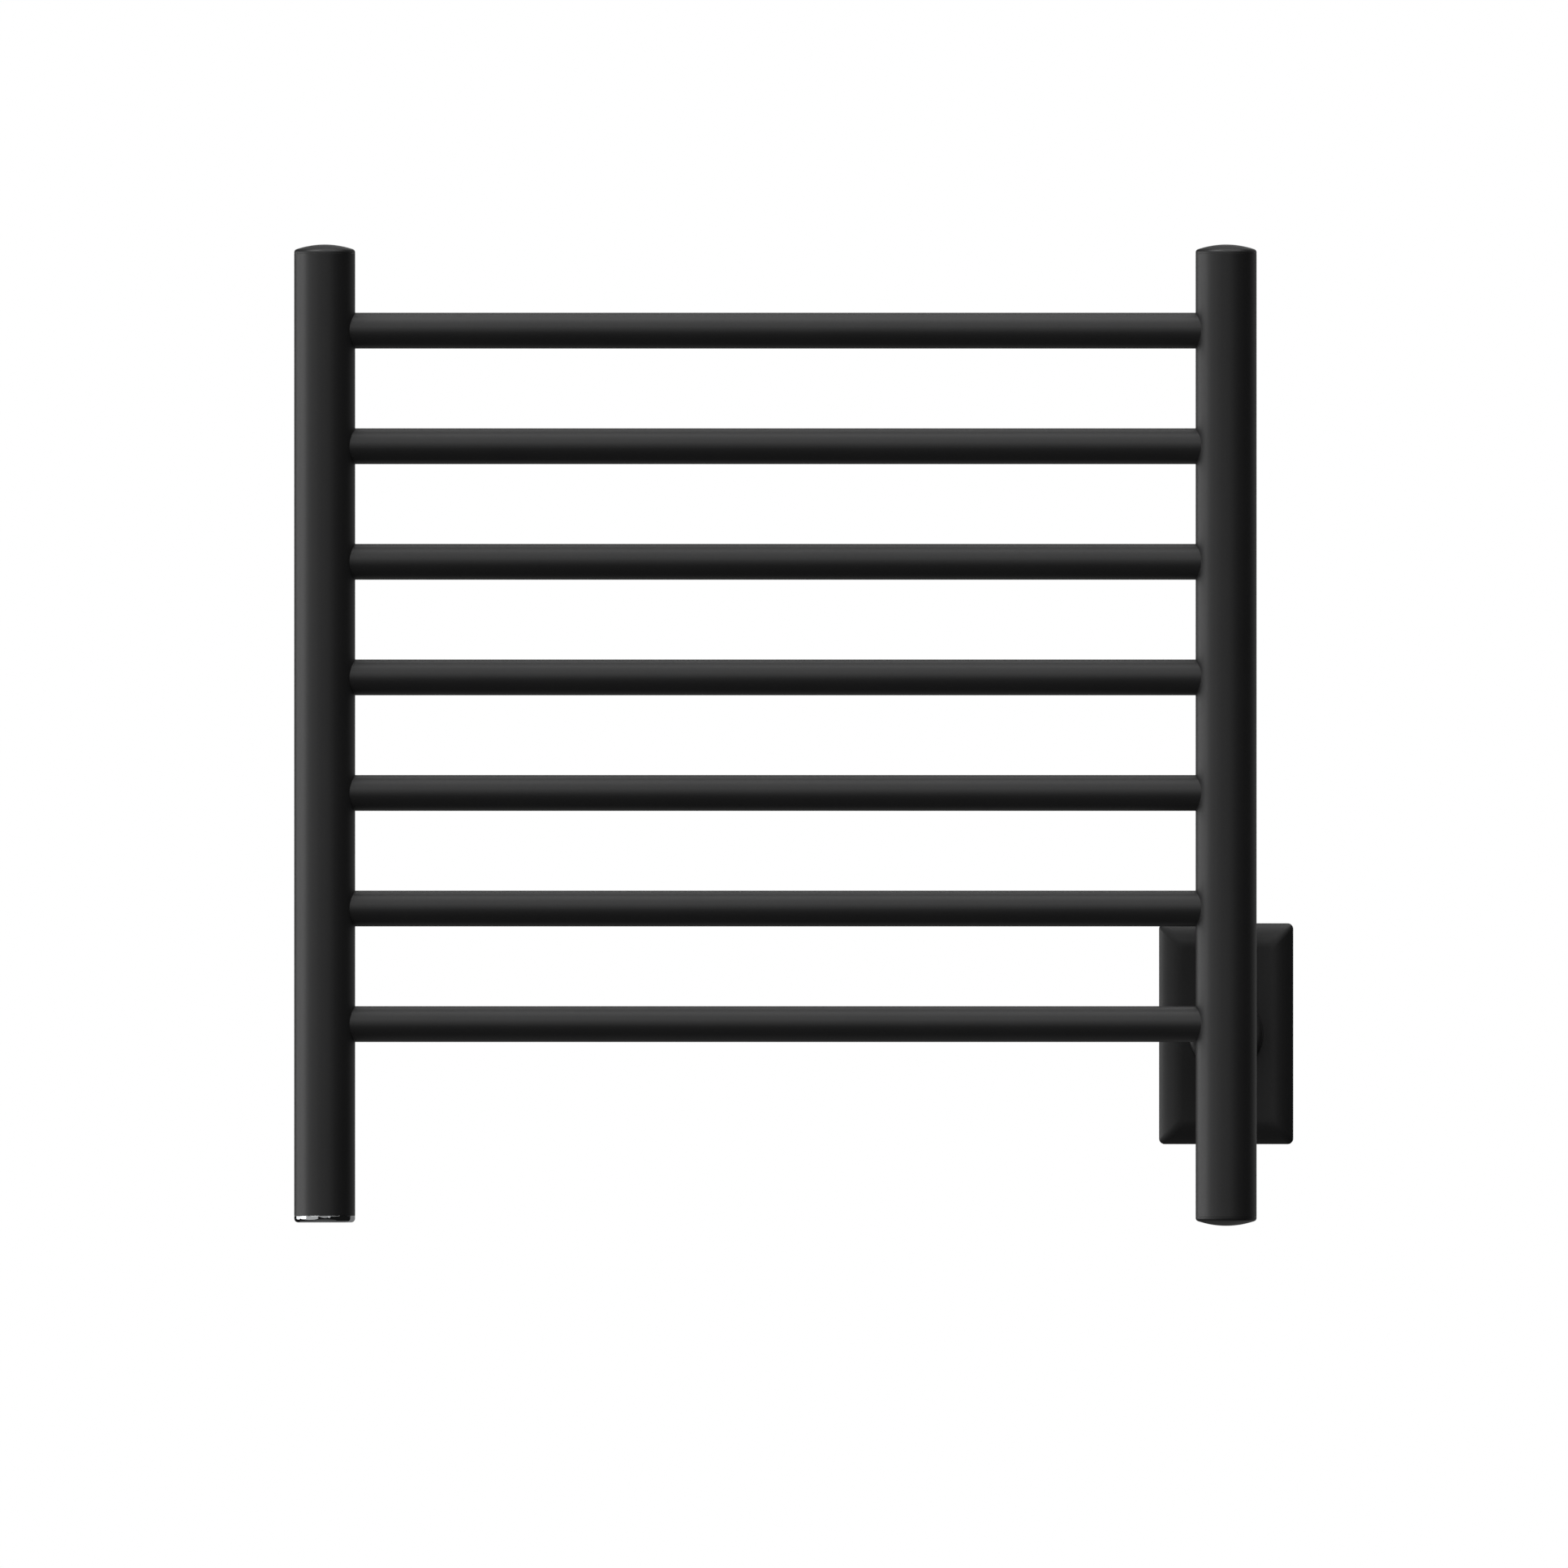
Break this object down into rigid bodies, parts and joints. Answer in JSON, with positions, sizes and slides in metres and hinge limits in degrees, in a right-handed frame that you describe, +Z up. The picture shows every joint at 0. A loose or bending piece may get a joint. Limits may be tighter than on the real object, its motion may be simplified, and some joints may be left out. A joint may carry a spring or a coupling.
{
  "type": "towel warmer rack",
  "caption": "Wall-mounted electric towel warmer with round horizontal bars between two upright posts, a hardwired wall plate and a push switch under one post.",
  "frame": {"origin": "on the wall plane, at the centre of the wall plate and of the electrical box behind it", "axes": "+X to the right along the bars, +Y into the wall, +Z up; the front of the rack faces -Y"},
  "size_m": [0.5403, 0.114, 0.5307],
  "materials": {
    "black_coat": "matte black powder coat",
    "chrome": "polished chrome plate",
    "clear_lens": "smooth clear polycarbonate, unlit",
    "black_plastic": "moulded, fine texture",
    "ivory_plastic": "moulded nylon",
    "black_rubber": "matte moulded",
    "brown_silicone": "satin silicone jacket",
    "black_lead": "satin wire jacket",
    "white_lead": "satin wire jacket",
    "zinc_steel": "zinc plated",
    "spring_steel": "drawn wire",
    "brass": "stamped brass",
    "green_coat": "green dyed zinc"
  },
  "bodies": {
    "rack": {"left_post": "black_coat", "right_post": "black_coat", "bar_1": "black_coat", "bar_2": "black_coat", "bar_3": "black_coat", "bar_4": "black_coat", "bar_5": "black_coat", "bar_6": "black_coat", "bar_7": "black_coat", "cap_top_left": "black_coat", "cap_top_right": "black_coat", "cap_bottom_right": "black_coat", "switch_bezel": "chrome", "bezel_seal": "black_rubber", "switch_body": "black_plastic", "switch_nut": "zinc_steel", "switch_spring": "spring_steel", "switch_terminal_load": "brass", "switch_terminal_line": "brass", "heating_cable": "brown_silicone", "line_lead": "black_lead", "switch_lead": "black_lead", "neutral_lead": "white_lead", "thermal_cutoff": "ivory_plastic", "neutral_splice": "ivory_plastic", "wall_plate": "black_coat", "mounting_strap": "zinc_steel", "plate_screw_top": "black_coat", "plate_screw_bottom": "black_coat", "ground_screw": "green_coat", "supply_arm": "black_coat", "arm_collar": "black_coat", "arm_locknut": "zinc_steel", "arm_bushing": "black_rubber", "wall_boss_top_left": "black_coat", "wall_boss_top_right": "black_coat", "wall_boss_bottom_left": "black_coat", "standoff_stem_top_left": "black_coat", "standoff_stem_top_right": "black_coat", "standoff_stem_bottom_left": "black_coat", "boss_screw_top_left": "black_coat", "boss_screw_top_right": "black_coat", "boss_screw_bottom_left": "black_coat"},
    "power_button": {"switch_button": "chrome", "switch_lens": "clear_lens"}
  },
  "joints": [
    {"name": "power_button_press", "type": "slide", "parent": "rack", "child": "power_button", "axis": [0, 0, 1], "range_m": [0, 0.002], "stiffness_N_per_m": 800, "springref_m": -0.001, "deforming": ["switch_spring"]}
  ]
}
